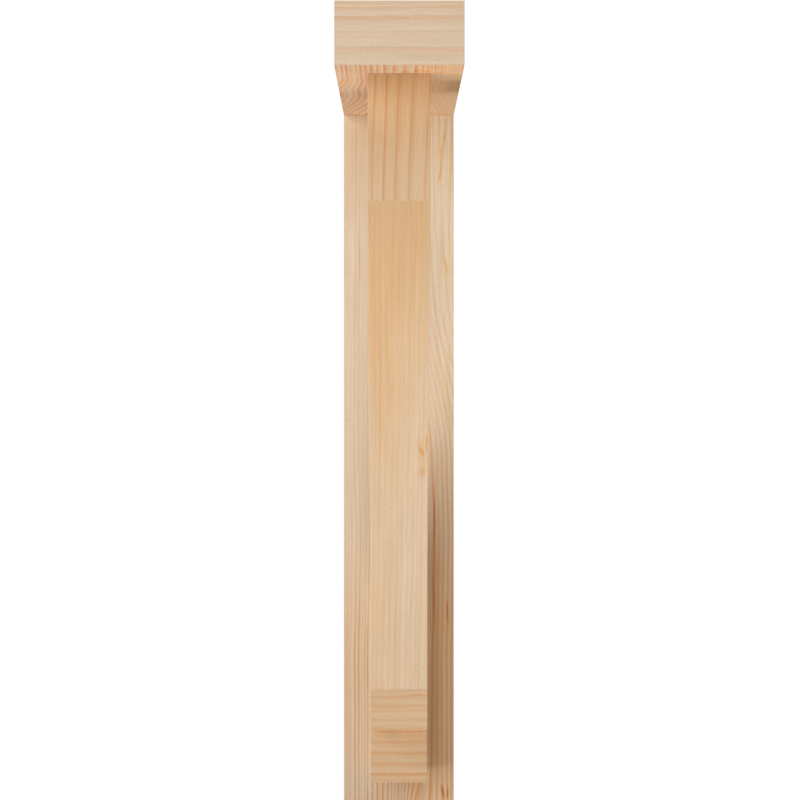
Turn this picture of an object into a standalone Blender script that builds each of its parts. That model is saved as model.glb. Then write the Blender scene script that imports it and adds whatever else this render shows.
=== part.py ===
# A wooden bracket of square timber: a post against the wall, an arm over its top,
# a curved brace between them and a stepped foot block under the brace.
# Metres. Z is up, the front faces -Y, and the back of the post lies on the plane y = 0.

import math

import bpy

# Whole bracket
WIDTH = 0.0889
DEPTH = 0.3556
POST_LENGTH = 0.5653

# Stock, as laid on its face
ARM_HEIGHT = 0.0440
POST_THICKNESS = 0.0440
BRACE_WIDTH = 0.0440

# Brace, seen from the side
BRACE_SETBACK = 0.0455
BRACE_TOP_DEPTH = 0.0889
BRACE_FACE_HEIGHT = 0.0889
BRACE_TOE_DEPTH = 0.0889
BRACE_BEARING = 0.0540
BACK_CURVE_RADIUS = 0.7100

# Foot block: a nose as deep as the brace's toe, and a shorter part under it
NOSE_HEIGHT = 0.0313
SHANK_HEIGHT = 0.0435
NOSE_OVERHANG = 0.0190
TAIL_LENGTH = 0.0372

# Fits and edges
JOINT_GAP = 0.0003
EDGE_EASE = 0.0008
CURVE_STEPS = 40

# Places that follow from the sizes
TOTAL_HEIGHT = POST_LENGTH + JOINT_GAP + ARM_HEIGHT
TOP = TOTAL_HEIGHT / 2
UNDERSIDE = TOP - ARM_HEIGHT
BOTTOM = -TOTAL_HEIGHT / 2
POST_FACE = -POST_THICKNESS
BEARING = POST_FACE - JOINT_GAP
BRACE_TOP = UNDERSIDE - JOINT_GAP
FOOT_BOTTOM = BOTTOM + TAIL_LENGTH
SHANK_TOP = FOOT_BOTTOM + SHANK_HEIGHT
FOOT_TOP = SHANK_TOP + NOSE_HEIGHT
BRACE_TOE = FOOT_TOP + JOINT_GAP
BRACE_FRONT = -DEPTH + BRACE_SETBACK
TOE_FRONT = BEARING - BRACE_TOE_DEPTH


def clearScene():
    for old in list(bpy.data.objects):
        bpy.data.objects.remove(old, do_unlink=True)


def arcPoints(start, end, radius, steps):
    """Points from start up to end on a circle whose centre lies in front of them, towards -Y."""
    (ax, az), (bx, bz) = start, end
    chord = math.hypot(bx - ax, bz - az)
    rise = math.sqrt(radius * radius - chord * chord / 4)
    cx = (ax + bx) / 2 - (bz - az) / chord * rise
    cz = (az + bz) / 2 + (bx - ax) / chord * rise
    first = math.atan2(az - cz, ax - cx)
    last = math.atan2(bz - cz, bx - cx)
    turn = (last - first + math.pi) % (2 * math.pi) - math.pi
    angles = [first + turn * step / steps for step in range(steps + 1)]
    return [(cx + radius * math.cos(a), cz + radius * math.sin(a)) for a in angles]


def tangentRadius(start, end):
    """Radius of the arc between two points that stands upright at its start."""
    across = abs(end[0] - start[0])
    up = abs(end[1] - start[1])
    return (across * across + up * up) / (2 * across)


def extruded(name, outline, width):
    """A solid with this outline in the side view, (y, z) in order, centred on x = 0."""
    count = len(outline)
    half = width / 2
    points = [(-half, y, z) for y, z in outline] + [(half, y, z) for y, z in outline]
    faces = [tuple(range(count)), tuple(range(2 * count - 1, count - 1, -1))]
    for i in range(count):
        j = (i + 1) % count
        faces.append((j, i, count + i, count + j))
    mesh = bpy.data.meshes.new(name)
    mesh.from_pydata(points, [], faces)
    mesh.validate()
    area = sum(
        a[0] * b[1] - b[0] * a[1] for a, b in zip(outline, outline[1:] + outline[:1])
    )
    if area > 0:
        mesh.flip_normals()
    mesh.update()
    obj = bpy.data.objects.new(name, mesh)
    bpy.context.scene.collection.objects.link(obj)
    return obj


def easeEdges(obj):
    bevel = obj.modifiers.new("eased edges", "BEVEL")
    bevel.width = EDGE_EASE
    bevel.segments = 2
    bevel.limit_method = "ANGLE"
    bevel.angle_limit = math.radians(25)
    bevel.use_clamp_overlap = True


def paint(obj, colour):
    material = bpy.data.materials.new(obj.name + " wood")
    material.use_nodes = True
    shader = material.node_tree.nodes["Principled BSDF"]
    shader.inputs["Base Color"].default_value = colour + (1.0,)
    shader.inputs["Roughness"].default_value = 0.55
    obj.data.materials.append(material)


def postOutline():
    return [(0, BOTTOM), (0, BRACE_TOP), (POST_FACE, BRACE_TOP), (POST_FACE, BOTTOM)]


def armOutline():
    return [(0, UNDERSIDE), (0, TOP), (-DEPTH, TOP), (-DEPTH, UNDERSIDE)]


def braceOutline():
    topBack = (BRACE_FRONT + BRACE_TOP_DEPTH, BRACE_TOP)
    landing = (BEARING, BRACE_TOE + BRACE_BEARING)
    faceFoot = (BRACE_FRONT, BRACE_TOP - BRACE_FACE_HEIGHT)
    toe = (TOE_FRONT, BRACE_TOE)
    back = arcPoints(landing, topBack, BACK_CURVE_RADIUS, CURVE_STEPS)
    front = arcPoints(toe, faceFoot, tangentRadius(toe, faceFoot), CURVE_STEPS)
    return [(BEARING, BRACE_TOE)] + back + [(BRACE_FRONT, BRACE_TOP)] + front[::-1]


def footOutline():
    shankFront = TOE_FRONT + NOSE_OVERHANG
    return [
        (BEARING, FOOT_BOTTOM),
        (BEARING, FOOT_TOP),
        (TOE_FRONT, FOOT_TOP),
        (TOE_FRONT, SHANK_TOP),
        (shankFront, SHANK_TOP),
        (shankFront, FOOT_BOTTOM),
    ]


def main():
    clearScene()
    pieces = (
        ("post", postOutline(), WIDTH, (0.73, 0.53, 0.34)),
        ("arm", armOutline(), WIDTH, (0.70, 0.50, 0.32)),
        ("brace", braceOutline(), BRACE_WIDTH, (0.72, 0.49, 0.29)),
        ("foot_block", footOutline(), BRACE_WIDTH, (0.64, 0.41, 0.23)),
    )
    for name, outline, width, colour in pieces:
        obj = extruded(name, outline, width)
        easeEdges(obj)
        paint(obj, colour)


main()
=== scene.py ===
import math

import bpy
import numpy as np
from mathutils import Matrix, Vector


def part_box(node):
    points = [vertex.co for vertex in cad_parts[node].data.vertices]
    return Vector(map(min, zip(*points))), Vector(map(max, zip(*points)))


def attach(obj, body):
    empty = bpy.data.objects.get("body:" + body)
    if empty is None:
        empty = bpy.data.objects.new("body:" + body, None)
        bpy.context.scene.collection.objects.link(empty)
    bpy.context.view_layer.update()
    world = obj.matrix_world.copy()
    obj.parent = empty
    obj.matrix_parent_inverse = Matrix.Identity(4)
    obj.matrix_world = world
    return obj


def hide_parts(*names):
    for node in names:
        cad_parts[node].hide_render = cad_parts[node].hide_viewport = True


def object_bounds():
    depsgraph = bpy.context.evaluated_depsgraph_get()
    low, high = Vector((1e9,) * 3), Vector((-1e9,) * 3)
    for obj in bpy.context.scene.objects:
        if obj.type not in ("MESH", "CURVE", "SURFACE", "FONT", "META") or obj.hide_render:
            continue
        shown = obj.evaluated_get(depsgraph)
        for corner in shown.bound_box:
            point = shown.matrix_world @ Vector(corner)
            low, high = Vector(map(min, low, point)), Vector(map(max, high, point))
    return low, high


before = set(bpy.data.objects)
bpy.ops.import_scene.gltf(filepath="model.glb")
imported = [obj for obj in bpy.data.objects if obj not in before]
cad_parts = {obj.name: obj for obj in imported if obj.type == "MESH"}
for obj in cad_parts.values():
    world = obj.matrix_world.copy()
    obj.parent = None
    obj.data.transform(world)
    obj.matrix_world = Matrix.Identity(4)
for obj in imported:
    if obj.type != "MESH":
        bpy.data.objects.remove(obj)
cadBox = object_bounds()
postLow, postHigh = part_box("post")
armLow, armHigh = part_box("arm")
braceLow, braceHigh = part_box("brace")
footLow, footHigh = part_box("foot_block")
print("bracket: frame loaded")

mm = 0.001
timber = {
    "ease": 0.12 * mm,       # radius of the eased edges
    "easeSteps": 2,
    "cell": 1.7 * mm,        # size of one mesh cell on the flats
    "edgeCell": 0.15 * mm,   # narrow cell beside an eased edge, so that the flat shades flat
    "reach": 0.27 * mm,      # how far a piece reaches into the 0.3 mm joint gap
    "planing": 0.03 * mm,    # half the depth of the slow waves that a planer leaves
    "planingLength": 70 * mm,
    "touching": 1e-7,        # flats whose ends are this near share one mitred point
    "weldCells": 1e5,        # cells to the metre; the points in one cell become one
    "weldShift": 0.37,       # keeps the cells' edges off the planes that the faces lie in
}


def spaced(start, end):
    # even steps from start to end, with one narrow step more at each end
    count = max(2, int(round(abs(end - start) / timber["cell"])))
    inner = np.linspace(start, end, count + 1)
    nudge = math.copysign(timber["edgeCell"], end - start)
    return np.concatenate([[start, start + nudge], inner[1:-1], [end - nudge, end]])


# A flat is (face name, points along it in the side view, outward directions at them).
def straightFlat(name, start, end, samples=None):
    # start + s * direction; the solid lies to the left of the line, so its right-hand normal points out
    start, end = np.array(start), np.array(end)
    length = np.linalg.norm(end - start)
    along = spaced(0.0, length) if samples is None else np.asarray(samples)
    way = (end - start) / length
    points = start + along[:, None] * way
    return name, points, np.tile([way[1], -way[0]], (len(points), 1))


def arcFlat(name, centre, radius, first, last, count, facing=1):
    # centre + radius * (cos a, sin a); the solid faces away from the centre, or towards it with facing -1
    angles = np.linspace(first, last, count)
    spokes = np.stack([np.cos(angles), np.sin(angles)], 1)
    return name, np.array(centre) + radius * spokes, facing * spokes


def easedLoop(flats):
    # Skin = core + r * direction, with r = ease on the flats and less towards the two side faces.
    # After each flat comes the rounding that turns its last direction into the next flat's first.
    ease, steps = timber["ease"], timber["easeSteps"]
    parts = []
    for i, (name, points, out) in enumerate(flats):
        out = out.copy()
        nextPoints, nextOut = flats[(i + 1) % len(flats)][1:]
        before, beforeOut = flats[i - 1][1:]
        core = points - ease * out
        if np.allclose(before[-1], points[0], atol=timber["touching"]):      # inner corner: one mitred point
            out[0] = (beforeOut[-1] + out[0]) / (1 + beforeOut[-1] @ out[0])
            core[0] = points[0] - ease * out[0]
        if np.allclose(points[-1], nextPoints[0], atol=timber["touching"]):
            mitre = (out[-1] + nextOut[0]) / (1 + out[-1] @ nextOut[0])
            out[-1], core[-1] = mitre, points[-1] - ease * mitre
            parts.append((name, core, out, len(core)))
            continue
        share = np.linspace(0, 1, steps + 1)[1:, None]
        turn = math.atan2(
            out[-1][0] * nextOut[0][1] - out[-1][1] * nextOut[0][0], out[-1] @ nextOut[0]
        )
        angle = math.atan2(out[-1][1], out[-1][0]) + share[:, 0] * turn
        bend = np.stack([np.cos(angle), np.sin(angle)], 1)
        bendCore = core[-1] + share * (nextPoints[0] - ease * nextOut[0] - core[-1])
        parts.append((name, np.vstack([core, bendCore]), np.vstack([out, bend]), len(core)))
    return parts


def coreLines(flats):
    # each flat's line of easing centres, without the rounding after it
    return {name: core[:count] for name, core, out, count in easedLoop(flats)}


def acrossRows(half):
    # (x, r) for each row from the left side face to the right one; the end rows follow a quarter circle
    ease = timber["ease"]
    turn = np.linspace(math.pi / 2, 0, timber["easeSteps"] + 1)[:-1]
    flatX = spaced(-half + ease, half - ease)
    edgeX = half - ease + ease * np.sin(turn)
    x = np.concatenate([-edgeX, flatX, edgeX[::-1]])
    r = np.concatenate([ease * np.cos(turn), np.full(len(flatX), ease), (ease * np.cos(turn))[::-1]])
    return x, r


def inside(count, margin):
    # 0 on the rim of a patch and 1 a few cells in, so that relief never parts two patches
    index = np.arange(count)
    return np.clip((np.minimum(index, count - 1 - index) - margin) / 2, 0, 1)


def shares(points):
    # how far each point lies on the way from the first to the last
    way = points[-1] - points[0]
    return (points - points[0]) @ way / (way @ way)


def skinPatches(flats, half, sides):
    # the outline carried from side to side, then each side face ruled between two rails of core points
    x, r = acrossRows(half)
    patches = []
    for name, core, out, flatCount in easedLoop(flats):
        yz = core[None] + r[:, None, None] * out[None]
        points = np.concatenate([np.broadcast_to(x[:, None, None], yz.shape[:2] + (1,)), yz], 2)
        normal = np.concatenate([np.zeros(yz.shape[:2] + (1,)), np.broadcast_to(out, yz.shape)], 2)
        along = np.concatenate([inside(flatCount, 1), np.zeros(len(core) - flatCount)])
        weight = inside(len(x), timber["easeSteps"] + 1)[:, None] * along[None]
        patches.append((name, points, normal, weight))
    for rail, opposite, rungs in sides:
        grid = rail[:, None] + rungs[None, :, None] * (opposite - rail)[:, None]
        weight = inside(grid.shape[0], 1)[:, None] * inside(grid.shape[1], 1)[None]
        for name, side, step in (("left", -half, 1), ("right", half, -1)):
            points = np.concatenate([np.full(grid.shape[:2] + (1,), side), grid], 2)[::step]
            normal = np.zeros_like(points)
            normal[..., 0] = math.copysign(1, side)
            patches.append((name, points, normal, weight[::step]))
    return patches


def planedWaves(points):
    # planing * half of (sine of x + 0.7 y + z, plus sine of 1.7 x - y + 0.6 z, less 2), so it only cuts in
    x, y, z = np.moveaxis(points, 2, 0) * 2 * math.pi / timber["planingLength"]
    return timber["planing"] * 0.5 * (np.sin(x + 0.7 * y + z) + np.sin(1.7 * x - y + 0.6 * z) - 2)


def timberPiece(name, patches, figure, node):
    # figure(face, x, y, z) gives ring number, place across and along the grain, warmth, ink and tone
    places, corners, values = [], [], []
    start = 0
    for face, points, normal, weight in patches:
        drawn = figure(face, *np.moveaxis(points, 2, 0))
        values.append(np.stack(np.broadcast_arrays(*drawn), 2).reshape(-1, 6))
        points = points + (planedWaves(points) * weight)[..., None] * normal
        rows, columns = points.shape[:2]
        index = start + np.arange(rows * columns).reshape(rows, columns)
        quads = np.stack([index[:-1, :-1], index[1:, :-1], index[1:, 1:], index[:-1, 1:]], 2)
        places.append(points.reshape(-1, 3))
        corners.append(quads.reshape(-1, 4))
        start += rows * columns
    places, values, quads = np.concatenate(places), np.concatenate(values), np.concatenate(corners)
    key = np.floor(places * timber["weldCells"] + timber["weldShift"]).astype(np.int64)
    _, first, joined = np.unique(key, axis=0, return_index=True, return_inverse=True)
    triangles = np.concatenate([quads[:, [0, 1, 2]], quads[:, [0, 2, 3]]])
    met = joined.reshape(-1)[triangles]
    whole = (met[:, 0] != met[:, 1]) & (met[:, 1] != met[:, 2]) & (met[:, 0] != met[:, 2])
    met, triangles = met[whole], triangles[whole]
    spots = places[first]
    a, b, c = spots[met[:, 0]], spots[met[:, 1]], spots[met[:, 2]]
    if np.einsum("ij,ij->i", a, np.cross(b, c)).sum() < 0:               # volume below nought: inside out
        met, triangles = met[:, ::-1], triangles[:, ::-1]
    mesh = bpy.data.meshes.new(name)
    mesh.from_pydata(spots, [], met)
    mesh.shade_smooth()
    value = values[triangles.reshape(-1)]
    for label, column in (("rings", 0), ("warmth", 3), ("ink", 4), ("tone", 5)):
        layer = mesh.attributes.new(label, "FLOAT", "CORNER")
        layer.data.foreach_set("value", np.ascontiguousarray(value[:, column], np.float32))
    layer = mesh.attributes.new("grain", "FLOAT_VECTOR", "CORNER")
    grain = np.stack([value[:, 1], np.zeros(len(value)), value[:, 2]], 1)
    layer.data.foreach_set("vector", np.ascontiguousarray(grain, np.float32).reshape(-1))
    mesh.update()
    piece = bpy.data.objects.new(name, mesh)
    bpy.context.scene.collection.objects.link(piece)
    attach(piece, "root")
    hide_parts(node)
    print("bracket:", name, len(met), "triangles")
    return piece


# The grain: lines where ring edges cross a face, bent by slow waves.
def waves(seed, along, lengths, heights):
    # sum of height * sin(turn * along / length + chance)
    dice = np.random.default_rng(seed)
    total = np.zeros_like(along)
    for length, height in zip(lengths, heights):
        total += height * mm * np.sin(2 * math.pi * along / (length * mm) + dice.uniform(0, 2 * math.pi))
    return total


def smoothStep(low, high, value):
    t = np.clip((value - low) / (high - low), 0, 1)
    return t * t * (3 - 2 * t)


def bump(value, centre, spread):
    # 1 at the centre, falling off like a bell
    return np.exp(-((value - centre) / spread) ** 2)


def ramp(value, start, softness):
    # 0 below the start and value - start above it, with a soft bend between
    return softness * np.logaddexp(0, (value - start) / softness)


def blend(value, stops):
    # straight lines between the stops, which are (place in mm, amount)
    places, amounts = np.array(stops).T
    return np.interp(value, places * mm, amounts)


def ringNumber(across, marks):
    # which growth ring a place lies in, from the places in mm where ring edges cross the face
    marks = np.asarray(marks, float) * mm
    step = np.diff(marks)
    number = np.interp(across, marks, np.arange(len(marks), dtype=float))
    number = np.where(across < marks[0], (across - marks[0]) / step[0], number)
    return np.where(across > marks[-1], len(marks) - 1 + (across - marks[-1]) / step[-1], number)


def evenMarks(seed, low, high, spacing, spread):
    # ring edges about one spacing apart, from low to high, in mm
    dice = np.random.default_rng(seed)
    steps = spacing * (1 + spread * dice.uniform(-1, 1, int((high - low) / spacing) + 4))
    return low - spacing + np.cumsum(steps)


def boxFlats(low, high, reach=0.0):
    # the four flats of a plain stick, with its top raised into the joint by reach
    e = timber["ease"]
    back, front, bottom, top = high[1], low[1], low[2], high[2] + reach
    return [
        straightFlat("front", (front, top - e), (front, bottom + e)),
        straightFlat("bottom", (front + e, bottom), (back - e, bottom)),
        straightFlat("back", (back, bottom + e), (back, top - e)),
        straightFlat("top", (back - e, top), (front + e, top)),
    ]


def boxSides(flats):
    core = coreLines(flats)
    return [(core["front"], core["back"][::-1], shares(core["bottom"]))]


# The post
post = {
    "marks": (-42.0, -39.6, -35.6, -32.3, -29.6, -27.5, -25.3, -21.5, -17.5, -12.5, -8.9, -5.6, -2.6,
              0.7, 5.2, 8.5, 13.4, 17.6, 21.3, 26.9, 31.4, 34.6, 38.8, 42.3, 47, 51.5, 56.5, 62, 67, 72, 77),
    "sweep": 30.0,               # how far the lines on the right come from the left, from low to high
    "sideSpacing": 5.0,
    # The tone stops are partly painted light: raised on the right, where the brace's shadow falls, and at the
    # top under the arm's shade; lowered at the lower left, against the light bounced there from the brace.
    "toneLeft": ((-305, 0.72), (-180, 0.71), (-60, 0.79), (0, 0.84), (150, 0.90), (245, 0.89), (262, 0.96)),
    "toneRight": ((-305, 0.90), (-180, 1.09), (-60, 1.15), (0, 1.11), (40, 1.05), (150, 0.99), (260, 1.13)),
    "warmLeft": ((-305, 0.30), (-282, 0.08), (-60, 0.0), (0, 0.02), (150, 0.17), (260, 0.42)),
    "warmRight": ((-305, 0.66), (-150, 0.64), (-60, 0.36), (0, 0.13), (260, 0.0)),
    "inkLeft": ((-305, 0.85), (-180, 0.75), (-80, 0.36), (20, 0.28), (260, 0.28)),
    "inkRight": ((-305, 0.90), (-180, 0.95), (-60, 0.88), (20, 0.43), (150, 0.34), (260, 0.38)),
    "pitch": (                   # place, size, turn, strength: dark brown streaks
        ((28.7, -44, -66), (0.6, 4, 42), -0.02, 0.8),
        ((28.3, -44, -130), (0.9, 4, 30), 0.02, 0.5),
        ((39.3, -44, -141), (0.8, 4, 13), 0.07, 0.7),
        ((35.6, -44, -287), (1.3, 4, 8), 0.14, 0.9),
        ((39.6, -44, -288), (0.8, 4, 6), 0.0, 0.9),
    ),
    "ochre": (                   # paler, yellow ones
        ((35.2, -44, 228), (1.8, 4, 42), -0.11, 0.95),
        ((32.0, -44, 238), (1.6, 4, 28), -0.02, 0.75),
        ((42.0, -44, 222), (1.5, 4, 46), -0.02, 0.85),
        ((34.4, -44, 150), (1.5, 4, 34), 0.02, 0.45),
        ((40.5, -44, 150), (1.3, 4, 40), 0.0, 0.45),
        ((37.6, -44, 138), (1.2, 4, 26), 0.08, 0.6),
        ((34.2, -44, 50), (1.4, 4, 40), 0.12, 0.5),
        ((40.5, -44, 20), (1.4, 4, 40), 0.06, 0.5),
    ),
    "resin": (
        ((36.7, -44, 243), (0.9, 4, 6), -0.1, 0.6),
        ((34.3, -44, 232), (0.7, 4, 5), -0.1, 0.5),
        ((32.7, -44, 210), (0.8, 4, 6), -0.2, 0.6),
        ((38.6, -44, 138), (0.9, 4, 8), 0.15, 0.7),
        ((40.3, -44, 65), (0.7, 4, 5), 0.35, 0.6),
        ((-31.6, -44, 142), (0.4, 4, 26), 0.0, 0.5),
        ((-34.2, -44, 243), (0.5, 4, 22), 0.0, 0.5),
    ),
    "pale": (0.78, 0.66, 0.50),
    "warm": (0.74, 0.47, 0.24),
    "line": (0.87, 0.46, 0.15),
    "shift": (0.3, 0, 0.1),
    "waver": 0.45,
    "onset": 0.16,
    "fade": 0.9,
}


def postFigure(face, x, y, z):
    wander = waves(3, z, (310, 170, 70), (0.7, 0.35, 0.12))
    if face in ("front", "back"):
        # lines on the right lean to the right going down, most steeply about a third of the way down
        lean = post["sweep"] * mm * (0.35 * smoothStep(0.0, 0.26, z) + 0.65 * smoothStep(-0.02, 0.12, z))
        toRight = smoothStep(0.004, 0.026, x)
        # under the foot block they lean a little the other way
        aside = 0.2 * bump(x, 0.012, 0.010) * np.clip(-0.252 - z, 0, 1)
        across = x + wander + lean * toRight + aside
        if face == "back":
            return ringNumber(across + 4 * mm, post["marks"]), x + wander, z, 0.25, 0.45, 0.88
        shade = smoothStep(0.0, 0.02, x)
        warmth, ink, tone = (
            blend(z, post[key + "Left"]) * (1 - shade) + blend(z, post[key + "Right"]) * shade
            for key in ("warm", "ink", "tone")
        )
        # a brown band beside the brace's lower part, its darker tone partly painted shade deepening the
        # brace's shadow;
        # a warm tail under the foot block; a lighter line left of the brace, painted light against its
        # contact shade;
        # paler, less orange lines left of the foot block, painted against the warm light bounced from it;
        # and a painted shadow of the foot block at the lower right
        beside = bump(x, 0.0285, 0.0055) * smoothStep(-0.03, -0.11, z) * smoothStep(-0.285, -0.25, z)
        tail = smoothStep(-0.262, -0.27, z) * smoothStep(0.024, 0.018, np.abs(x))
        corner = bump(x, -0.0215, 0.0025) * smoothStep(-0.2, -0.15, z) * smoothStep(0.08, 0.0, z)
        paintedBounceOffset = bump(x, -0.0245, 0.0025) * smoothStep(-0.195, -0.21, z) * smoothStep(-0.29, -0.28, z)
        paintedFootShadow = bump(x, 0.018, 0.007) * smoothStep(-0.272, -0.284, z)
        tone = tone * (1 - 0.11 * beside) * (1 + 0.05 * tail) * (1 + 0.14 * corner) * (1 - 0.10 * paintedFootShadow)
        warmth = warmth + 0.40 * beside + 0.18 * tail + 0.1 * corner - 0.15 * paintedBounceOffset
        ink = ink * (1 - 0.3 * beside) * (1 - 0.4 * paintedBounceOffset) + 0.15 * tail
        return ringNumber(across, post["marks"]), x + wander, z, warmth, ink, tone
    if face in ("left", "right"):
        marks = evenMarks(5 if face == "left" else 6, -50, 4, post["sideSpacing"], 0.3)
        # painted shade: both side faces are toned down against the strong light from the left
        return ringNumber(y + wander, marks), y + wander, z, 0.3, 0.45, 0.82
    bow = 12 * x * x                                              # sawn ends
    return ringNumber(y + bow, evenMarks(7, -50, 4, 7.0, 0.3)), y, x, 0.5, 0.5, 0.9


flats = boxFlats(postLow, postHigh, timber["reach"])
postPiece = timberPiece("bracketPost", skinPatches(flats, postHigh[0], boxSides(flats)), postFigure, "post")


# The arm
arm = {
    "endMarks": (-3.0, 1.2, 3.7, 10.4, 21.3, 31.9, 44.2, 52),     # below the top, seen on the front end
    "underMarks": (-48, -44, -40.5, -37.0, -34.0, -30.4, -27.4, -23.9, -19.9, -15.8, -10.9, -4.2, 3.1, 11,
                   16, 19.5, 22, 24.5, 27, 29, 31.5, 34, 36, 38.5, 41, 43, 46),
    # painted light along the run: brighter at the front edge, darker towards the post
    "underPaintedLight": ((0, 1.12), (45, 1.09), (80, 1.04), (150, 0.98), (311, 1.00)),
    "pivot": -18.0,               # the lines left of this place spread, by so much, over these runs
    "spread": 0.45,
    "spreadRuns": (0.070, 0.150),
    "shiftBack": 1.6,             # and all of them move this far to the right
    "resin": (                    # place, size, turn, strength
        ((3.8, -318, 261), (3.0, 9, 4), 0.0, 0.8),
        ((12.0, -320, 261), (1.8, 9, 4), 0.0, 0.8),
        ((19.5, -321, 261), (4.0, 5, 4), 0.0, 0.9),
        ((28.0, -314, 261), (8.5, 4, 4), 0.0, 0.8),
        ((25.0, -342, 261), (4.5, 4, 4), 0.0, 0.5),
        ((26.0, -140, 261), (3.5, 9, 4), 0.0, 0.4),
        ((24.0, -60, 261), (2.6, 9, 4), 0.0, 0.7),
    ),
    "pale": (0.78, 0.64, 0.49),
    "warm": (0.74, 0.47, 0.24),
    "line": (0.88, 0.49, 0.22),
    "shift": (0.7, 0, 0.5),
    "waver": 0.16,
    "onset": 0.12,
    "fade": 0.6,
}


def armFigure(face, x, y, z):
    run = y - armLow[1]
    if face in ("front", "back"):
        ripple = waves(11, x + 0.4 * z, (150, 60, 24), (0.22, 0.14, 0.06))
        depth = armHigh[2] - z + ripple
        rim = bump(armHigh[2] - z, 0.0010, 0.0017)
        ink = 0.36 * (1 - 0.5 * rim)
        return ringNumber(depth, arm["endMarks"]), depth, x, 0.20 + 0.35 * rim, ink, 0.93
    if face == "bottom":
        # on the left the lines spread and then sweep aside; on the right they fan out
        toLeft, toRight = smoothStep(0.002, -0.02, x), smoothStep(0.004, 0.022, x)
        pivot = arm["pivot"] * mm
        spreading = smoothStep(*arm["spreadRuns"], run) * toLeft
        across = x - arm["shiftBack"] * mm * spreading
        across = np.where(across < pivot, pivot + (across - pivot) / (1 + arm["spread"] * spreading), across)
        sweep = toLeft * 0.15 * ramp(run, 0.205, 0.012)
        fan = toRight * 0.22 * ramp(run, 0.16, 0.01) * smoothStep(0.05, 0.02, x)
        sway = waves(12, run + 0.8 * x, (190, 75), (0.4, 0.15)) * smoothStep(0.03, 0.09, run)
        across = across + sweep - fan + sway + toLeft * 1.0 * mm * bump(run, 0.143, 0.02)
        # the right-hand side is warm, with a darker place in its middle; near the front, painted light raises
        # the tone and warmth to soften the front edge of the brace's shadow
        near = toRight * bump(run, 0.06, 0.022)
        dark = toRight * smoothStep(0.072, 0.100, run) * smoothStep(0.168, 0.140, run)
        far, rim = smoothStep(0.14, 0.18, run), smoothStep(0.028, 0.040, x)
        warmth = 0.25 + 0.36 * toRight + 0.35 * dark + 0.25 * near * rim
        # painted light: far back on the left the warmth is raised, in place of the warm light bounced from
        # the brace's side, which does not reach past it
        warmth = warmth + 0.12 * smoothStep(0.05, 0.0, run) + far * (0.22 * toLeft - 0.06 * toRight)
        ink = 0.70 + 0.05 * toLeft - 0.25 * toRight + far * (0.15 * toLeft + 0.25 * toRight)
        ink = ink + dark * (0.2 + 0.2 * rim) + 0.30 * smoothStep(0.05, 0.03, run)
        aside = 0.07 * smoothStep(0.04, 0.06, run) + 0.03 * far
        tone = blend(run, arm["underPaintedLight"]) * (1 + 0.15 * toRight + aside * toLeft) * (1 + 0.08 * near)
        tone = tone * (1 - dark * (0.33 * rim - 0.08))
        return ringNumber(across, arm["underMarks"]), across, run, warmth, ink, tone
    if face == "top":
        bow = waves(13, run, (330, 120), (3, 1.0))
        return ringNumber(x + bow, evenMarks(14, -48, 48, 8.0, 0.4)), x + bow, run, 0.3, 0.5, 0.95
    # left and right sides; painted shade: toned down against the strong light from the left
    bow = waves(15, run, (400, 150), (1.2, 0.4))
    depth = armHigh[2] - z + bow
    return ringNumber(depth, arm["endMarks"]), depth, run, 0.35, 0.5, 0.84


flats = boxFlats(armLow, armHigh)
armPiece = timberPiece("bracketArm", skinPatches(flats, armHigh[0], boxSides(flats)), armFigure, "arm")


# The brace
brace = {
    "topDepth": 88.9 * mm,        # where it bears on the arm
    "faceHeight": 88.9 * mm,      # the flat part of its front
    "toeDepth": 88.9 * mm,
    "bearing": 54.0 * mm,         # how high its back lies against the post
    "backRadius": 710 * mm,
    "faceMarks": (-26.0, -17.4, -9.1, -0.8, 9.5, 20.6, 32),
    "curveMarks": (-27, -21.5, -17.2, -13.6, -9.0, -4.6, 0.6, 4.2, 8.3, 12.4, 16.0, 19.2, 24, 29),
    "lean": 0.027,
    "faceWarm": ((0, 1.06), (90, 0.66)),
    # painted light: the face's tone is raised just under the arm, against the arm's shade
    "facePaintedLight": ((0, 0.98), (45, 0.87), (90, 0.92)),
    "curveWarm": ((89, 1.26), (130, 1.05), (210, 0.76), (260, 0.63), (330, 0.53), (454, 0.61)),
    "curveTone": ((89, 0.96), (180, 1.01), (260, 0.98), (340, 0.95), (454, 0.91)),
    "resin": (                    # place, size, turn, strength
        ((17.2, -171, -7.8), (1.8, 30, 5.4), 0.45, 1.0),
        ((20.8, -171, -1.0), (1.2, 30, 9.6), -0.03, 0.9),
        ((18.0, -171, -9.0), (5.0, 30, 13.0), 0.2, 0.30),
        ((17.9, -167, -22.9), (3.4, 30, 6.0), -0.2, 0.55),
    ),
    "pale": (0.78, 0.64, 0.49),
    "warm": (0.74, 0.47, 0.24),
    "line": (0.89, 0.47, 0.20),
    "shift": (1.3, 0, 0.9),
    "waver": 0.3,
    "onset": 0.11,
    "fade": 1.6,
}


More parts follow.
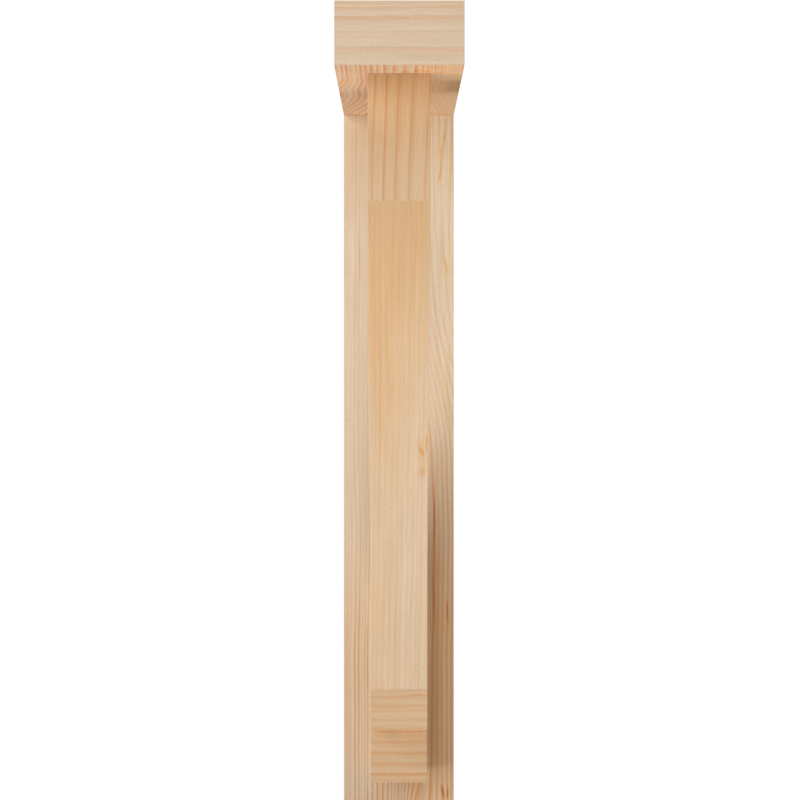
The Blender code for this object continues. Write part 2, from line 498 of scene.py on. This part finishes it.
def braceFigure(face, x, y, z):
    down = braceHigh[2] - z
    wander = waves(21, z, (350, 120, 50), (0.5, 0.25, 0.12))
    if face == "front":
        across = x + brace["lean"] * down * (1 + 12 * x) + 0.5 * wander
        rings = ringNumber(across, brace["faceMarks"])
        ink = 0.49 + 0.13 * smoothStep(0.0, -0.012, x)
        return rings, across, z, blend(down, brace["faceWarm"]), ink, blend(down, brace["facePaintedLight"])
    if face == "curve":
        across = x + 0.010 * (down - 0.09) + wander
        rings = ringNumber(across, brace["curveMarks"])
        low = smoothStep(0.22, 0.30, down)
        warm = blend(down, brace["curveWarm"]) - 0.16 * low * smoothStep(-0.004, 0.004, x)
        warm = warm - 0.22 * (1 - low) * (smoothStep(-0.012, 0.016, x) - 0.5)
        return rings, across, z, warm, 0.18 + 0.05 * low, blend(down, brace["curveTone"])
    if face in ("left", "right"):
        lean = y + 0.25 * down * smoothStep(0.45, 0.0, down)
        rings = ringNumber(lean + wander * 2, evenMarks(23, -420, 30, 7.5, 0.35))
        # painted shade: both side faces are toned down against the strong light from the left
        return rings, lean, z, 0.5, 0.45, 0.84
    if face == "back":
        return ringNumber(x + wander, evenMarks(24, -30, 34, 7.0, 0.35)), x + wander, z, 0.4, 0.4, 0.95
    return ringNumber(y + 8 * x * x, evenMarks(25, -420, 30, 7.5, 0.3)), y, x, 0.5, 0.5, 0.9      # ends


def braceFlats():
    e, reach = timber["ease"], timber["reach"]
    back, front = braceHigh[1] + reach, braceLow[1]
    toe, top = braceLow[2] - reach, braceHigh[2] + reach
    toeFront = braceHigh[1] - brace["toeDepth"]
    faceFoot = braceHigh[2] - brace["faceHeight"]
    rise, reachIn = faceFoot - braceLow[2], toeFront - front
    curveRadius = (rise * rise + reachIn * reachIn) / (2 * reachIn)
    curveCentre = (toeFront - curveRadius, braceLow[2])
    curveEnd = math.asin(rise / curveRadius)
    cut = math.tan(curveEnd / 2)
    curveStart = (toe + e - braceLow[2]) / curveRadius
    curveCount = int(curveEnd * curveRadius / timber["cell"])
    curveEnd = curveEnd - e / curveRadius * cut
    curve = arcFlat("curve", curveCentre, curveRadius, curveEnd, curveStart, curveCount, -1)
    face = straightFlat("front", (front, top - e), (front, faceFoot + e * cut))

    landing = np.array([braceHigh[1], braceLow[2] + brace["bearing"]])
    crown = np.array([front + brace["topDepth"], braceHigh[2]])
    chord = crown - landing
    length = np.linalg.norm(chord)
    lift = math.sqrt(brace["backRadius"] ** 2 - length ** 2 / 4)
    centre = (landing + crown) / 2 + lift * np.array([-chord[1], chord[0]]) / length
    first = math.atan2(*(landing - centre)[::-1])
    # the back ends where its easing and the top's share one centre
    last = math.asin((top - e - centre[1]) / (brace["backRadius"] - e))
    toeFlat = straightFlat("toe", (toeFront + e, toe), (back - e, toe))
    bearing = straightFlat("bearing", (back, toe + e), (back, landing[1]))
    backCount = len(face[1]) + curveCount - len(bearing[1])
    backCurve = arcFlat("back", centre + (reach, 0), brace["backRadius"], first, last, backCount)
    topStart = np.array([backCurve[1][-1][0] - e * math.cos(last), top])
    topEnd = np.array([front + e, top])
    rungs = np.linalg.norm(topEnd - topStart) * (1 - shares(toeFlat[1])[::-1])
    return [face, curve, toeFlat, bearing, backCurve, straightFlat("top", topStart, topEnd, rungs)]


def braceSides(flats):
    core = coreLines(flats)
    rail = np.vstack([core["front"], core["curve"][1:]])
    opposite = np.vstack([core["bearing"], core["back"][1:]])[::-1]
    return [(rail, opposite, shares(core["toe"]))]


flats = braceFlats()
bracePatches = skinPatches(flats, braceHigh[0], braceSides(flats))
bracePiece = timberPiece("bracketBrace", bracePatches, braceFigure, "brace")


# The foot block
foot = {
    "noseHeight": 31.3 * mm,
    "overhang": 19.0 * mm,
    "marks": (-3.0, 1.6, 4.2, 13.2, 16.9, 23.2, 29.8, 35.3, 43.3, 52.1, 60.5, 68.8, 72.5, 79),
    "resin": (((13, -133, -197.0), (8, 4, 0.7), 0.03, 0.6),),
    "pale": (0.78, 0.64, 0.49),
    "warm": (0.74, 0.47, 0.24),
    "line": (0.90, 0.48, 0.19),
    "shift": (1.9, 0, 1.7),
    "waver": 0.2,
    "onset": 0.3,
    "fade": 1.0,
}


def footFigure(face, x, y, z):
    down = footHigh[2] - z
    bow = waves(32, y, (120, 50), (0.6, 0.3))
    if face in ("nose", "shank"):
        ripple = waves(31, x + 0.3 * z, (60, 28, 13), (0.24, 0.14, 0.07)) * smoothStep(0.0, 0.03, down)
        rings = ringNumber(down + ripple + 0.01 * x, foot["marks"])
        if face == "nose":
            return rings, down, x, 0.71, 0.29, 0.85
        # painted light: a little lighter and warmer, with fainter lines, where the nose's shadow falls, and
        # lighter a little lower on the right, where that shadow reaches further; the lowest line is the
        # strongest
        shaded, lowest = smoothStep(0.042, 0.031, down), bump(down, 0.0695, 0.003)
        ink = 0.40 - 0.24 * shaded + 0.36 * lowest
        paintedLightLower = smoothStep(0.056, 0.036, down) * smoothStep(-0.008, 0.006, x)
        tone = 0.82 + shaded * (0.22 + 0.10 * smoothStep(-0.008, 0.010, x)) + 0.11 * paintedLightLower
        return rings, down, x, 0.75 + 0.17 * shaded, ink, tone
    if face in ("left", "right", "back"):
        # painted shade: the side and back faces are toned down against the strong light from the left
        return ringNumber(down + bow, foot["marks"]), down + bow, y, 0.65, 0.5, 0.80
    return ringNumber(x + bow, evenMarks(34, -30, 34, 6.0, 0.35)), x + bow, y, 0.6, 0.5, 0.88


def footFlats():
    e = timber["ease"]
    back, nose, low, high = footHigh[1] + timber["reach"], footLow[1], footLow[2], footHigh[2]
    ledge, shank = high - foot["noseHeight"], nose + foot["overhang"]
    noseZ = spaced(high - e, ledge + e)
    shankZ = np.concatenate([[ledge], spaced(ledge, low + e)[1:]])
    ledgeY = spaced(nose + e, shank)
    lowY = spaced(shank + e, back - e)
    backZ = np.concatenate([noseZ, shankZ[1:]])[::-1]
    topY = np.concatenate([ledgeY[:-1], lowY])[::-1]
    return [
        straightFlat("nose", (nose, high - e), (nose, ledge + e)),
        straightFlat("ledge", (nose + e, ledge), (shank, ledge), ledgeY - ledgeY[0]),
        straightFlat("shank", (shank, ledge), (shank, low + e), shankZ[0] - shankZ),
        straightFlat("bottom", (shank + e, low), (back - e, low), lowY - lowY[0]),
        straightFlat("back", (back, low + e), (back, high - e), backZ - backZ[0]),
        straightFlat("top", (back - e, high), (nose + e, high), topY[0] - topY),
    ]


def footSides(flats):
    # the side faces are two rectangles: the nose down to the ledge, and the shank below it
    core = coreLines(flats)
    nose, shank, back = core["nose"], core["shank"], core["back"][::-1]
    return [
        (nose, back[:len(nose)], shares(core["top"][::-1])),
        (shank, back[len(nose) - 1:], shares(core["bottom"])),
    ]


flats = footFlats()
footPatches = skinPatches(flats, footHigh[0], footSides(flats))
footPiece = timberPiece("bracketFoot", footPatches, footFigure, "foot_block")


# The wood
wood = {
    "resin": (0.97, 0.66, 0.30),         # what the streaks of each kind multiply the colour by
    "ochre": (0.95, 0.82, 0.54),
    "pitch": (0.70, 0.33, 0.13),
    "fleckTint": (0.92, 0.72, 0.46),
    "fine": (700, 700, 22),              # streaks to the metre, across and along the grain
    "broad": (240, 240, 7),
    "patch": (42, 42, 12),
    "fleck": (900, 900, 75),
    "speck": (560, 560, 400),
    "shake": (90, 90, 9),                # the noise that makes the ring lines waver
    "noiseRoughness": 0.55,
    "ringLevels": ((0.10, 0.85), (0.24, 0.42), (0.50, 0.14), (0.80, 0.03)),      # place in the ring, darkness
    "ringLeast": 0.5,                    # strength of the faintest ring, and how much more others can have
    "ringMore": 0.65,
    "patchWarmth": 0.35,                 # how much each kind of fibre changes warmth or tone
    "broadWarmth": 0.55,
    "fineTone": 0.24,
    "broadTone": -0.10,
    "speckTone": 0.17,
    "fleckFrom": 0.62,                   # flecks show where their noise lies above this
    "fleckFull": 0.78,
    "fleckStrength": 0.4,
    "streakRim": 1.3,                    # a streak shows up to this many times its size
    "streakHeart": 0.2,                  # and fully within this share of it
    "fineGroove": 0.6,                   # relief from the fibres and from the late wood
    "lineGroove": 0.3,
    "grooveStrength": 0.25,
    "grooveDepth": 0.2 * mm,
    "roughness": 0.55,
    "gloss": 0.25,
}


def newGroup(name, inputs, outputs):
    group = bpy.data.node_groups.new(name, "ShaderNodeTree")
    for label, kind, value in inputs:
        socket = group.interface.new_socket(label, in_out="INPUT", socket_type="NodeSocket" + kind)
        socket.default_value = value
    for label, kind in outputs:
        group.interface.new_socket(label, in_out="OUTPUT", socket_type="NodeSocket" + kind)
    enter, leave = group.nodes.new("NodeGroupInput"), group.nodes.new("NodeGroupOutput")
    return group, enter.outputs, leave.inputs


def maths(tree, operation, *values):
    node = tree.nodes.new("ShaderNodeMath")
    node.operation = operation
    for socket, value in zip(node.inputs, values):
        if isinstance(value, (int, float)):
            socket.default_value = value
        else:
            tree.links.new(value, socket)
    return node.outputs[0]


def vectorMaths(tree, operation, first, second):
    node = tree.nodes.new("ShaderNodeVectorMath")
    node.operation = operation
    tree.links.new(first, node.inputs[0])
    if isinstance(second, tuple):
        node.inputs[1].default_value = second
    else:
        tree.links.new(second, node.inputs["Scale" if operation == "SCALE" else 1])
    return node


def around(tree, value, strength, base):
    # base + strength * (value - 0.5)
    return maths(tree, "MULTIPLY_ADD", maths(tree, "SUBTRACT", value, 0.5), strength, base)


def mixed(tree, how, factor, first, second):
    # in its colour form the Mix node's inputs 0, 6 and 7 are factor, A and B, and output 2 is the result
    node = tree.nodes.new("ShaderNodeMix")
    node.data_type = "RGBA"
    node.blend_type = how
    tree.links.new(factor, node.inputs[0])
    tree.links.new(first, node.inputs[6])
    if isinstance(second, tuple):
        node.inputs[7].default_value = second + (1,)
    else:
        tree.links.new(second, node.inputs[7])
    return node.outputs[2]


def noiseAt(tree, vector, detail, stretch):
    noise = tree.nodes.new("ShaderNodeTexNoise")
    noise.inputs["Scale"].default_value = 1.0
    noise.inputs["Detail"].default_value = detail
    noise.inputs["Roughness"].default_value = wood["noiseRoughness"]
    tree.links.new(vectorMaths(tree, "MULTIPLY", vector, stretch).outputs[0], noise.inputs["Vector"])
    return noise.outputs["Fac"]


def makeGrowthRings():
    # From the ring number: a dark edge that fades through the ring, stronger in some rings than in others
    group, enter, leave = newGroup("growthRings", (
        ("Rings", "Float", 0.0), ("Grain", "Vector", (0, 0, 0)), ("Waver", "Float", 0.12),
        ("Onset", "Float", 0.1), ("Fade", "Float", 1.0)), (("Late Wood", "Float"),))
    shake = noiseAt(group, enter["Grain"], 2.0, wood["shake"])
    moved = maths(group, "MULTIPLY_ADD", maths(group, "SUBTRACT", shake, 0.5), enter["Waver"], enter["Rings"])
    line = group.nodes.new("ShaderNodeValToRGB")
    line.color_ramp.interpolation = "EASE"
    stops = line.color_ramp.elements
    stops[0].position, stops[0].color = 0.0, (1, 1, 1, 1)
    stops[1].position, stops[1].color = 1.0, (0, 0, 0, 1)
    for place, level in wood["ringLevels"]:
        stops.new(place).color = (level, level, level, 1)
    part = maths(group, "FRACT", moved)
    group.links.new(maths(group, "MULTIPLY", part, enter["Fade"]), line.inputs[0])
    onset = group.nodes.new("ShaderNodeMapRange")
    onset.interpolation_type = "SMOOTHSTEP"
    group.links.new(maths(group, "SUBTRACT", 1.0, enter["Onset"]), onset.inputs["From Min"])
    group.links.new(part, onset.inputs["Value"])
    edge = maths(group, "MAXIMUM", line.outputs[0], onset.outputs[0])
    dice = group.nodes.new("ShaderNodeTexWhiteNoise")
    dice.noise_dimensions = "1D"
    group.links.new(maths(group, "FLOOR", moved), dice.inputs["W"])
    strength = maths(group, "MULTIPLY_ADD", dice.outputs["Value"], wood["ringMore"], wood["ringLeast"])
    group.links.new(maths(group, "MULTIPLY", edge, strength), leave["Late Wood"])
    return group


def makeFibres():
    # Fine streaks along the grain, broad soft streaks, slow patches, short flecks and small specks
    group, enter, leave = newGroup("woodFibres", (("Grain", "Vector", (0, 0, 0)),), (
        ("Fine", "Float"), ("Broad", "Float"), ("Patch", "Float"), ("Fleck", "Float"), ("Speck", "Float")))
    for label, detail in (("Fine", 4.0), ("Broad", 3.0), ("Patch", 2.0), ("Fleck", 1.0), ("Speck", 3.0)):
        group.links.new(noiseAt(group, enter["Grain"], detail, wood[label.lower()]), leave[label])
    return group


def makeWoodColour():
    # Pale to warm by patch and face, darkened by late wood, then by light and dark fibres
    group, enter, leave = newGroup("woodColour", (
        ("Late Wood", "Float", 0.0), ("Ink", "Float", 0.5), ("Warmth", "Float", 0.3), ("Tone", "Float", 1.0),
        ("Fine", "Float", 0.5), ("Broad", "Float", 0.5), ("Patch", "Float", 0.5),
        ("Fleck", "Float", 0.5), ("Speck", "Float", 0.5),
        ("Pale", "Color", (0.78, 0.64, 0.49, 1)), ("Warm", "Color", (0.74, 0.47, 0.24, 1)),
        ("Line", "Color", (0.8, 0.5, 0.2, 1))), (("Color", "Color"), ("Height", "Float")))
    broadWarm = around(group, enter["Broad"], wood["broadWarmth"], enter["Warmth"])
    warm = around(group, enter["Patch"], wood["patchWarmth"], broadWarm)
    base = mixed(group, "MIX", warm, enter["Pale"], enter["Warm"])
    inked = maths(group, "MULTIPLY", enter["Late Wood"], enter["Ink"])
    lined = mixed(group, "MULTIPLY", inked, base, enter["Line"])
    marked = group.nodes.new("ShaderNodeMapRange")
    marked.inputs["From Min"].default_value = wood["fleckFrom"]
    marked.inputs["From Max"].default_value = wood["fleckFull"]
    marked.inputs["To Max"].default_value = wood["fleckStrength"]
    group.links.new(enter["Fleck"], marked.inputs["Value"])
    flecked = mixed(group, "MULTIPLY", marked.outputs[0], lined, wood["fleckTint"])
    value = around(group, enter["Broad"], wood["broadTone"], 1.0)
    value = around(group, enter["Fine"], wood["fineTone"], value)
    value = around(group, enter["Speck"], wood["speckTone"], value)
    value = maths(group, "MULTIPLY", value, enter["Tone"])
    group.links.new(vectorMaths(group, "SCALE", flecked, value).outputs[0], leave["Color"])
    lineGroove = maths(group, "MULTIPLY", inked, wood["lineGroove"])
    grooves = maths(group, "MULTIPLY_ADD", enter["Fine"], wood["fineGroove"], lineGroove)
    group.links.new(grooves, leave["Height"])
    return group


def makeResinStreak():
    # 1 in the middle of a stretched, turned oval, 0 from its rim outwards
    group, enter, leave = newGroup("resinStreak", (
        ("Where", "Vector", (0, 0, 0)), ("Place", "Vector", (0, 0, 0)), ("Size", "Vector", (1, 1, 1)),
        ("Turn", "Float", 0.0)), (("Mask", "Float"),))
    offset = vectorMaths(group, "SUBTRACT", enter["Where"], enter["Place"]).outputs[0]
    turned = group.nodes.new("ShaderNodeVectorRotate")
    turned.rotation_type = "Y_AXIS"
    group.links.new(offset, turned.inputs["Vector"])
    group.links.new(enter["Turn"], turned.inputs["Angle"])
    scaled = vectorMaths(group, "DIVIDE", turned.outputs[0], enter["Size"]).outputs[0]
    length = group.nodes.new("ShaderNodeVectorMath")
    length.operation = "LENGTH"
    group.links.new(scaled, length.inputs[0])
    fade = group.nodes.new("ShaderNodeMapRange")
    fade.interpolation_type = "SMOOTHSTEP"
    fade.inputs["From Min"].default_value = wood["streakRim"]
    fade.inputs["From Max"].default_value = wood["streakHeart"]
    group.links.new(length.outputs["Value"], fade.inputs["Value"])
    group.links.new(fade.outputs[0], leave["Mask"])
    return group


growthRings, woodFibres = makeGrowthRings(), makeFibres()
woodColour, resinStreak = makeWoodColour(), makeResinStreak()


def placed(tree, group):
    node = tree.nodes.new("ShaderNodeGroup")
    node.node_tree = group
    return node


def attribute(tree, name):
    node = tree.nodes.new("ShaderNodeAttribute")
    node.attribute_name = name
    return node


def stainMask(tree, streaks):
    where = tree.nodes.new("ShaderNodeTexCoord").outputs["Object"]
    mask = None
    for place, size, turn, strength in streaks:
        streak = placed(tree, resinStreak)
        tree.links.new(where, streak.inputs["Where"])
        streak.inputs["Place"].default_value = tuple(value * mm for value in place)
        streak.inputs["Size"].default_value = tuple(value * mm for value in size)
        streak.inputs["Turn"].default_value = turn
        found = maths(tree, "MULTIPLY", streak.outputs["Mask"], strength)
        mask = found if mask is None else maths(tree, "MAXIMUM", mask, found)
    return mask


def timberMaterial(name, look):
    material = bpy.data.materials.new(name)
    material.use_nodes = True
    tree = material.node_tree
    shader = tree.nodes["Principled BSDF"]
    mapping = tree.nodes.new("ShaderNodeMapping")
    mapping.inputs["Location"].default_value = look["shift"]
    tree.links.new(attribute(tree, "grain").outputs["Vector"], mapping.inputs["Vector"])
    rings, fibres, colour = placed(tree, growthRings), placed(tree, woodFibres), placed(tree, woodColour)
    for label in ("Waver", "Onset", "Fade"):
        rings.inputs[label].default_value = look[label.lower()]
    tree.links.new(attribute(tree, "rings").outputs["Fac"], rings.inputs["Rings"])
    for user in (rings, fibres):
        tree.links.new(mapping.outputs[0], user.inputs["Grain"])
    tree.links.new(rings.outputs["Late Wood"], colour.inputs["Late Wood"])
    for label in ("Ink", "Warmth", "Tone"):
        tree.links.new(attribute(tree, label.lower()).outputs["Fac"], colour.inputs[label])
    for label in ("Fine", "Broad", "Patch", "Fleck", "Speck"):
        tree.links.new(fibres.outputs[label], colour.inputs[label])
    for label in ("Pale", "Warm", "Line"):
        colour.inputs[label].default_value = look[label.lower()] + (1,)
    stained = colour.outputs["Color"]
    for stain in ("ochre", "resin", "pitch"):
        if stain in look:
            stained = mixed(tree, "MULTIPLY", stainMask(tree, look[stain]), stained, wood[stain])
    tree.links.new(stained, shader.inputs["Base Color"])
    shader.inputs["Roughness"].default_value = wood["roughness"]
    shader.inputs["Specular IOR Level"].default_value = wood["gloss"]
    grooves = tree.nodes.new("ShaderNodeBump")
    grooves.inputs["Strength"].default_value = wood["grooveStrength"]
    grooves.inputs["Distance"].default_value = wood["grooveDepth"]
    tree.links.new(colour.outputs["Height"], grooves.inputs["Height"])
    tree.links.new(grooves.outputs[0], shader.inputs["Normal"])
    return material


for piece, name, look in (
    (postPiece, "paleSoftwood", post),
    (armPiece, "armSoftwood", arm),
    (bracePiece, "braceSoftwood", brace),
    (footPiece, "footSoftwood", foot),
):
    piece.data.materials.append(timberMaterial(name, look))
print("bracket: wood ready")


# Floor, light and camera
studio = {
    "floorDrop": 2.60,           # from the bracket's lowest point down to the floor
    "floorSide": 5.0,
    "floorTint": (0.86, 0.86, 0.86, 1),
    "floorRoughness": 0.7,
    "lens": 109.43,
    "sensor": 36,
    "lensShift": (0.00525, -0.025),
    "cameraAside": -0.0024,      # where it stands, from the middle of the arm's front lower edge
    "cameraFront": 1.656,
    "cameraBelow": 0.2145,
    "sky": 0.25,                 # how bright the sky is to the bracket
    "backdrop": 1.02,            # and to the camera
    "distance": 2.6,
    "lights": (                  # name, degrees to the left of the front, degrees up, size, watts
        ("window", 69, 10, (1.5, 3.4), 105),
        ("front", 8, 18, (1.0, 1.0), 13),
        ("rightHigh", -60, 44, (1.0, 1.0), 6),
        ("rightLow", -60, -36, (2.4, 1.6), 12),
        ("below", 0, -75, (1.8, 1.8), 18),
        ("backLeft", 140, 25, (1.0, 1.0), 14),
        ("backRight", -140, 25, (1.0, 1.0), 14),
    ),
    "aim": (0, -0.15, 0),
}


def makeFloor():
    side, z = studio["floorSide"] / 2, cadBox[0][2] - studio["floorDrop"]
    corners = [(-side, -side, z), (side, -side, z), (side, side, z), (-side, side, z)]
    mesh = bpy.data.meshes.new("studioFloor")
    mesh.from_pydata(corners, [], [(0, 1, 2, 3)])
    floor = bpy.data.objects.new("studioFloor", mesh)
    bpy.context.scene.collection.objects.link(floor)
    material = bpy.data.materials.new("paleFloor")
    material.use_nodes = True
    shader = material.node_tree.nodes["Principled BSDF"]
    shader.inputs["Base Color"].default_value = studio["floorTint"]
    shader.inputs["Roughness"].default_value = studio["floorRoughness"]
    mesh.materials.append(material)


def makeSky():
    world = bpy.data.worlds.new("studioSky")
    bpy.context.scene.world = world
    world.use_nodes = True
    tree = world.node_tree
    level = tree.nodes.new("ShaderNodeMapRange")
    level.inputs["To Min"].default_value = studio["sky"]
    level.inputs["To Max"].default_value = studio["backdrop"]
    tree.links.new(tree.nodes.new("ShaderNodeLightPath").outputs["Is Camera Ray"], level.inputs["Value"])
    tree.links.new(level.outputs[0], tree.nodes["Background"].inputs["Strength"])
    tree.nodes["Background"].inputs["Color"].default_value = (1, 1, 1, 1)


def softLight(name, aside, up, size, power):
    data = bpy.data.lights.new(name, "AREA")
    data.shape = "RECTANGLE"
    data.size, data.size_y = size
    data.energy = power
    light = bpy.data.objects.new(name, data)
    bpy.context.scene.collection.objects.link(light)
    aside, up = math.radians(aside), math.radians(up)
    way = Vector((-math.sin(aside) * math.cos(up), -math.cos(aside) * math.cos(up), math.sin(up)))
    light.location = Vector(studio["aim"]) + studio["distance"] * way
    light.rotation_euler = way.to_track_quat("Z", "Y").to_euler()


def makeCamera():
    data = bpy.data.cameras.new("photoCamera")
    camera = bpy.data.objects.new("photoCamera", data)
    bpy.context.scene.collection.objects.link(camera)
    data.sensor_width = studio["sensor"]
    data.lens = studio["lens"]
    data.shift_x, data.shift_y = studio["lensShift"]
    y, z = armLow[1] - studio["cameraFront"], armLow[2] - studio["cameraBelow"]
    camera.location = (studio["cameraAside"], y, z)
    camera.rotation_euler = (math.pi / 2, 0, 0)
    bpy.context.scene.camera = camera


makeFloor()
makeSky()
for light in studio["lights"]:
    softLight(*light)
makeCamera()
bpy.context.scene.view_settings.view_transform = "Standard"
print("bracket: studio ready")
